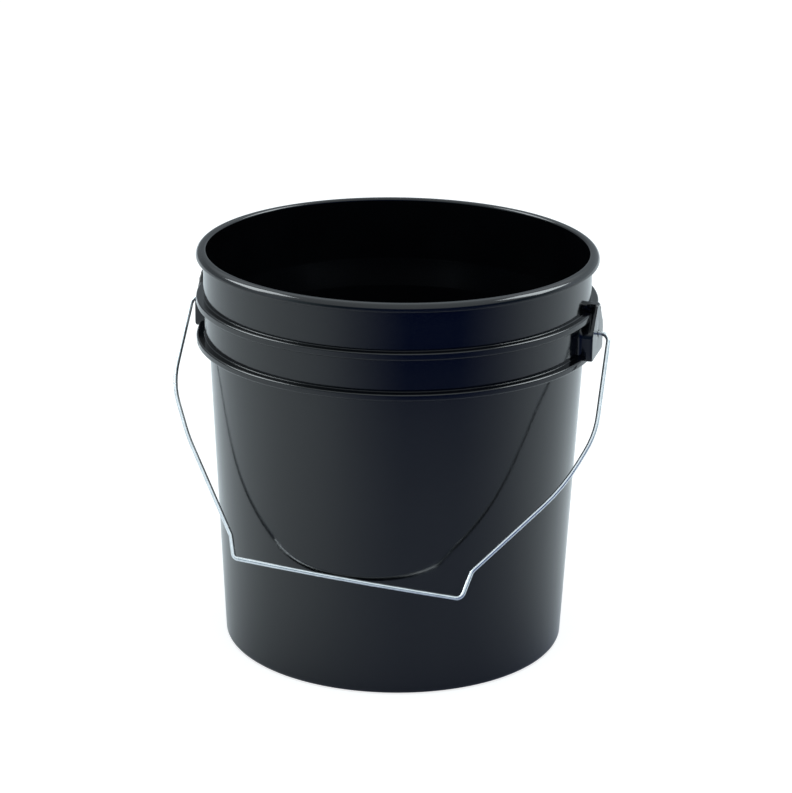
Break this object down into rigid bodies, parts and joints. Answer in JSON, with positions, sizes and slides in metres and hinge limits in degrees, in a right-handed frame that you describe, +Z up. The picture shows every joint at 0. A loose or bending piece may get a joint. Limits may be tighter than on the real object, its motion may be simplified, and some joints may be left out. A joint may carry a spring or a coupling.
{
  "type": "wash bucket",
  "caption": "Round tapered plastic wash bucket with a rolled lip, ribbed collar, moulded ears and a bent wire bail that swings over the top.",
  "frame": {"origin": "centre of the foot ring, on the surface the bucket stands on", "axes": "+Z up through the mouth, +X through the right ear along the bail's pivot line, -Y towards the side the bail hangs down"},
  "size_m": [0.2086, 0.1906, 0.1935],
  "materials": {
    "black_hdpe": "satin-gloss moulded polyethylene",
    "zinc_wire": "bright zinc-plated drawn wire"
  },
  "bodies": {
    "pail": {"pail_shell": "black_hdpe", "right_ear": "black_hdpe", "left_ear": "black_hdpe"},
    "bail": {"bail": "zinc_wire"}
  },
  "joints": [
    {"name": "bail_swing", "type": "hinge", "parent": "pail", "child": "bail", "pos_m": [0, 0, 0.16], "axis": [-1, 0, 0], "range_deg": [0, 279]}
  ]
}
